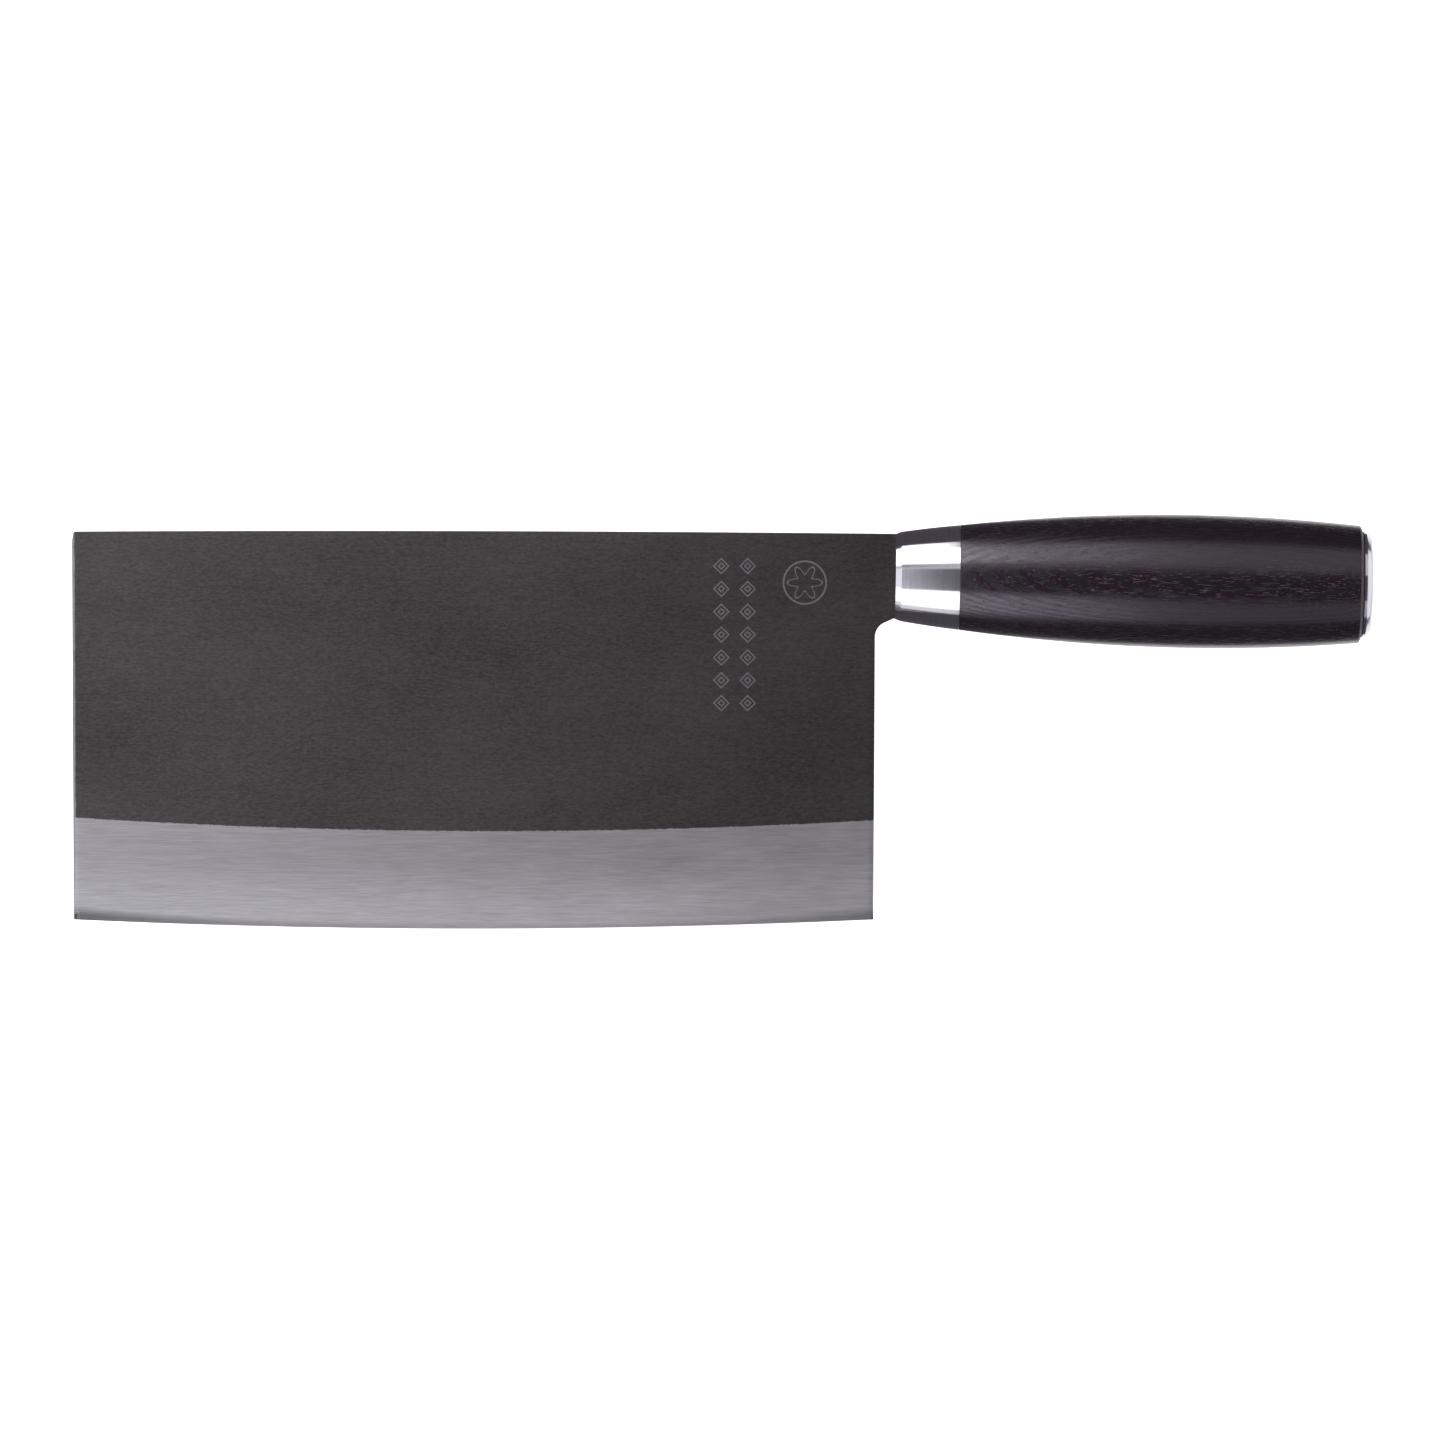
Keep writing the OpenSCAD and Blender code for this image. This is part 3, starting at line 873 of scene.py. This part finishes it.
def makeWoodFinish():
    look = woodLook
    finish, tree, shader = newFinish("laminatedDarkWood", **{
        "Specular IOR Level": look["specular"], "Specular Tint": look["specularTint"],
    })
    point = localPoint(tree, True)
    x, y, z = parts(tree, point)

    # flat layers, counted from the glue line
    lean, turn = look["layerLean"]
    depth = calc(tree, "MULTIPLY_ADD", x, lean, calc(tree, "MULTIPLY_ADD", y, turn, z))
    fibre = grainNoise(tree, point, *look["fibre"])
    depth = plus(tree, depth, calc(tree, "MULTIPLY_ADD", fibre, look["feather"] * 2, -look["feather"]))
    apex = gripShape["widest"][0] * lean  # the lean lifts the planes by this much at the widest place
    layer = calc(tree, "DIVIDE", minus(tree, depth, look["boundary"] + apex), look["layer"])
    number = calc(tree, "FLOOR", layer)
    tone = addNode(tree, "ShaderNodeTexWhiteNoise", noise_dimensions="1D")
    tree.links.new(number, tone.inputs["W"])
    turnAbout = calc(tree, "PINGPONG", number, 1.0)  # 0 and 1 in turn, as dark and light veneers are
    regular, chance = look["veneer"]
    veneer = calc(tree, "MULTIPLY_ADD", turnAbout, regular, times(tree, tone.outputs["Value"], chance))

    # the figure, which differs from layer to layer
    shifted = joined(tree, calc(tree, "MULTIPLY_ADD", number, look["figureStep"], x), y, z)
    streak = grainNoise(tree, shifted, *look["streak"])
    cloud = grainNoise(tree, point, *look["cloud"])
    pores = ramp(tree, grainNoise(tree, shifted, *look["pores"]), *look["poreBand"])
    share = plus(tree, streak, times(tree, cloud, look["cloudShare"]))
    pale = ramp(tree, plus(tree, share, veneer), *look["range"], smooth=False)
    wood = blend(tree, pale, look["dark"], look["light"])
    wood = scaled(tree, wood, calc(tree, "MULTIPLY_ADD", pores, look["poreShade"], 1.0))
    tree.links.new(wood, shader.inputs["Base Color"])

    smears = useGroup(tree, handlingSmears, Point=point, Amount=look["smears"])["Rough"]
    rough = calc(tree, "MULTIPLY_ADD", pale, -look["sheenRange"], look["roughness"])
    chamferFrom = gripShape["end"] - gripShape["endChamfer"][0]
    endGrain = ramp(tree, x, *[chamferFrom + offset for offset in look["endBand"]])
    rough = calc(tree, "MULTIPLY_ADD", endGrain, look["endRoughness"], rough)
    tree.links.new(plus(tree, rough, smears), shader.inputs["Roughness"])
    streakRelief, poreRelief = look["relief"]
    height = plus(tree, times(tree, streak, streakRelief), times(tree, pores, poreRelief))
    bumpFrom(tree, shader, height, *look["bump"])
    return finish


plainLook = {
    "grain": (4.0, 0.6),  # detail and roughness of the mottle
    "range": (0.35, 0.65),
    "glossRange": (0.3, 0.7),
    "glossSpread": 0.08,
    "bump": (0.2, 0.03),
}
plainSettings = {
    "plainSteel": {"dark": (0.36, 0.35, 0.34, 1), "light": (0.55, 0.54, 0.53, 1),
                   "fineness": (0.2, 3, 3), "roughness": 0.38, "metallic": 1.0},
    "weldMetal": {"dark": (0.16, 0.14, 0.13, 1), "light": (0.33, 0.29, 0.25, 1),
                  "fineness": (1.6, 1.2, 1.2), "roughness": 0.5, "metallic": 1.0},
    "epoxy": {"dark": (0.40, 0.30, 0.15, 1), "light": (0.52, 0.42, 0.24, 1),
              "fineness": (0.5, 0.5, 0.5), "roughness": 0.3, "metallic": 0.0},
    "blackFibre": {"dark": (0.006, 0.006, 0.007, 1), "light": (0.02, 0.018, 0.02, 1),
                   "fineness": (2, 2, 2), "roughness": 0.6, "metallic": 0.0},
}


def makePlainFinish(name, dark, light, fineness, roughness, metallic):
    # a mottled colour and gloss, for the spacer and for the pieces that the grip hides
    look = plainLook
    finish, tree, shader = newFinish(name, Metallic=metallic)
    point = localPoint(tree, True)
    mottle = grainNoise(tree, point, fineness, *look["grain"])
    tone = ramp(tree, mottle, *look["range"])
    tree.links.new(blend(tree, tone, dark, light), shader.inputs["Base Color"])
    smooth, dull = roughness - look["glossSpread"], roughness + look["glossSpread"]
    tree.links.new(ramp(tree, mottle, *look["glossRange"], smooth, dull), shader.inputs["Roughness"])
    bumpFrom(tree, shader, mottle, *look["bump"])
    return finish


bladeFinish = makeBladeFinish()
turnedSteel = makeTurnedSteel()
woodFinish = makeWoodFinish()
plain = {name: makePlainFinish(name, **settings) for name, settings in plainSettings.items()}
print("finishes made")

makeBlade([bladeFinish, plain["plainSteel"]])
makeBolster(turnedSteel)
makeGrip(woodFinish)
makeSpacer(plain["blackFibre"])
makeEndCap(turnedSteel)
hiddenFinishes = {
    "tang_rod": "plainSteel",
    "tang_washer": "plainSteel",
    "tang_nut": "plainSteel",
    "tang_weld": "weldMetal",
    "tang_adhesive": "epoxy",
}
for nodeName, finishName in hiddenFinishes.items():
    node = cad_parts[nodeName]
    node.data.materials.clear()
    node.data.materials.append(plain[finishName])
print("pieces made")


studio = {
    "cameraDistance": 3.0,
    "cameraShift": -0.2,  # mm from the middle of the box, towards the cutting edge
    "frameWidth": 0.3670,  # of the view, at the height of the blade
    "sensor": 36.0,
    "clipEnd": 30.0,
    "floorSize": 12.0,
    "floorDrop": 0.2,  # mm under the lowest point
    "floorColour": (0.8, 0.8, 0.8, 1),
    "floorGlow": 0.9,
    "fillColour": (1.0, 0.93, 1.08, 1),  # of the light from all round
    "fillStrength": 0.085,
}
softboxes = {
    # span is in degrees from overhead, towards the side that turn names; run is in metres along the handle
    "spineFar": {"turn": 0, "span": (22, 70), "run": (-0.08, 0.40), "distance": 0.50, "radiance": 0.60},
    "spineMiddle": {"turn": 0, "span": (34, 70), "run": (-0.10, 0.11), "distance": 0.48, "radiance": 1.0},
    "spineNear": {"turn": 0, "span": (36, 85), "run": (-0.95, 0.0), "distance": 0.46, "radiance": 2.8},
    "edgeFar": {"turn": 180, "span": (34, 76), "run": (-0.95, 0.40), "distance": 0.50, "radiance": 0.42,
                "colour": (0.93, 0.92, 1.0)},
    "edgeMiddle": {"turn": 180, "span": (28, 77), "run": (-0.10, 0.08), "distance": 0.48, "radiance": 1.1,
                   "colour": (0.93, 0.92, 1.0)},
    "edgeNear": {"turn": 180, "span": (28, 91), "run": (-0.95, 0.0), "distance": 0.46, "radiance": 1.05},
    "ceiling": {"turn": 0, "span": (-27, 27), "run": (-0.95, 0.35), "distance": 0.50, "radiance": 0.03,
                "colour": (0.93, 0.93, 1.0)},
    "ceilingNear": {"turn": 0, "span": (-27, 27), "run": (-0.95, -0.07), "distance": 0.46,
                    "radiance": 0.55, "colour": (0.93, 0.93, 1.0)},
    "toeBox": {"turn": 90, "span": (16, 74), "run": (-0.7, 0.7), "distance": 0.45, "radiance": 0.72,
               "colour": (0.95, 0.96, 1.0)},
    "capBox": {"turn": -90, "span": (42, 104), "run": (-0.6, 0.6), "distance": 0.60, "radiance": 1.15},
    "endBox": {"turn": -90, "span": (109, 175), "run": (-0.5, 0.5), "distance": 0.70, "radiance": 1.2},
}


def makeSoftbox(name, turn, span, run, distance, radiance, colour=(1, 1, 1)):
    light = bpy.data.lights.new(name, "AREA")
    light.shape = "RECTANGLE"
    light.size = run[1] - run[0]
    light.size_y = 2 * distance * math.tan(math.radians(span[1] - span[0]) / 2)
    light.energy = radiance * math.pi * light.size * light.size_y
    light.color = colour
    box = bpy.data.objects.new(name, light)
    turned = Matrix.Rotation(math.radians(turn), 4, "Z")
    tilted = Matrix.Rotation(-math.radians(sum(span) / 2), 4, "X")
    slide = math.cos(math.radians(turn)) * sum(run) / 2
    centre = Vector((0, 0, (bladeLow.z + bladeHigh.z) / 2))
    away = Matrix.Translation((slide, 0, distance))
    box.matrix_world = Matrix.Translation(centre) @ turned @ tilted @ away
    box.visible_camera = False
    bpy.context.scene.collection.objects.link(box)


def makeCamera():
    middle = (cadLow + cadHigh) / 2
    lens = bpy.data.cameras.new("camera")
    lens.sensor_width = studio["sensor"]
    lens.lens = studio["sensor"] * studio["cameraDistance"] / studio["frameWidth"]
    lens.clip_end = studio["clipEnd"]
    camera = bpy.data.objects.new("camera", lens)
    camera.location = (
        middle.x, middle.y + studio["cameraShift"] * mm,
        (bladeLow.z + bladeHigh.z) / 2 + studio["cameraDistance"],
    )
    bpy.context.scene.collection.objects.link(camera)
    bpy.context.scene.camera = camera


def makeFloor():
    bm = bmesh.new()
    bmesh.ops.create_grid(bm, x_segments=1, y_segments=1, size=studio["floorSize"] / 2)
    bmesh.ops.translate(bm, vec=(0, 0, cadLow.z - studio["floorDrop"] * mm), verts=bm.verts)
    mesh = bpy.data.meshes.new("floor")
    bm.to_mesh(mesh)
    bm.free()
    floor = bpy.data.objects.new("floor", mesh)
    bpy.context.scene.collection.objects.link(floor)
    finish, tree, shader = newFinish("paleFloor", **{
        "Base Color": studio["floorColour"], "Roughness": 1.0, "Specular IOR Level": 0.0,
        "Emission Color": (1, 1, 1, 1), "Emission Strength": studio["floorGlow"],
    })
    floor.data.materials.append(finish)
    floor.visible_glossy = False
    floor.visible_diffuse = False
    floor.visible_shadow = False


def makeWorld():
    world = bpy.data.worlds.new("studio")
    bpy.context.scene.world = world
    world.use_nodes = True
    tree = world.node_tree
    light = tree.nodes["Background"]
    light.inputs["Color"].default_value = studio["fillColour"]
    light.inputs["Strength"].default_value = studio["fillStrength"]
    pale = addNode(tree, "ShaderNodeBackground")
    pale.inputs["Color"].default_value = (1, 1, 1, 1)
    mixer = addNode(tree, "ShaderNodeMixShader")
    tree.links.new(addNode(tree, "ShaderNodeLightPath").outputs["Is Camera Ray"], mixer.inputs[0])
    tree.links.new(light.outputs[0], mixer.inputs[1])
    tree.links.new(pale.outputs[0], mixer.inputs[2])
    tree.links.new(mixer.outputs[0], tree.nodes["World Output"].inputs["Surface"])


makeCamera()
makeFloor()
makeWorld()
for name, settings in softboxes.items():
    makeSoftbox(name, **settings)
bpy.context.scene.view_settings.view_transform = "Standard"
print("stage made")
